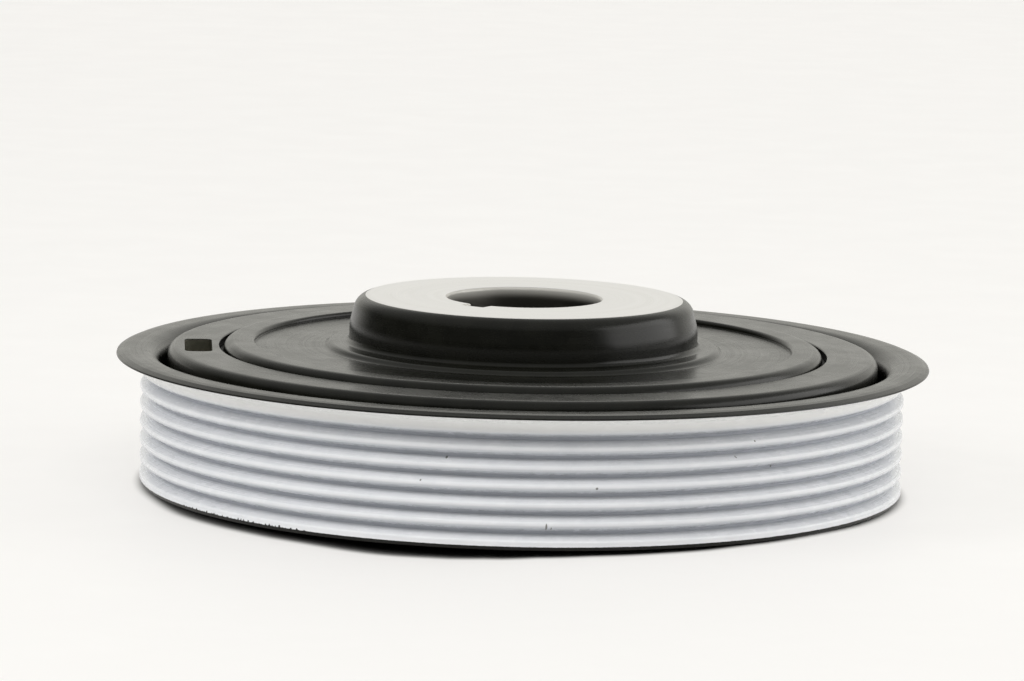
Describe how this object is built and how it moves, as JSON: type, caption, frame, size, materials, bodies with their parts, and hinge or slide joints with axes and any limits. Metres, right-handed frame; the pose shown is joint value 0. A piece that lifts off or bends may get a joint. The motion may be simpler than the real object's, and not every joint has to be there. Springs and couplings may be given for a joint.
{
  "type": "harmonic balancer",
  "caption": "Crankshaft pulley and vibration damper: a grooved, flanged rim around a rubber-borne inertia ring, on a hub with a tall keyed boss.",
  "frame": {"origin": "centre of the plane that the hub's nose stands on, on the bore axis", "axes": "+Z along the bore axis towards the machined boss face that meets the engine; +X to the right and +Y away from the viewer of the picture"},
  "size_m": [0.1636, 0.1636, 0.0393],
  "materials": {
    "hub_coat": "satin black coat, bare machined boss face",
    "pulley_coat": "satin, pale coat on the belt track and black coat elsewhere",
    "ring_coat": "satin black coat",
    "rubber": "matte"
  },
  "bodies": {
    "root": {"hub": "hub_coat", "pulley_rim": "pulley_coat", "inertia_ring": "ring_coat", "rubber_ring": "rubber"}
  },
  "joints": []
}
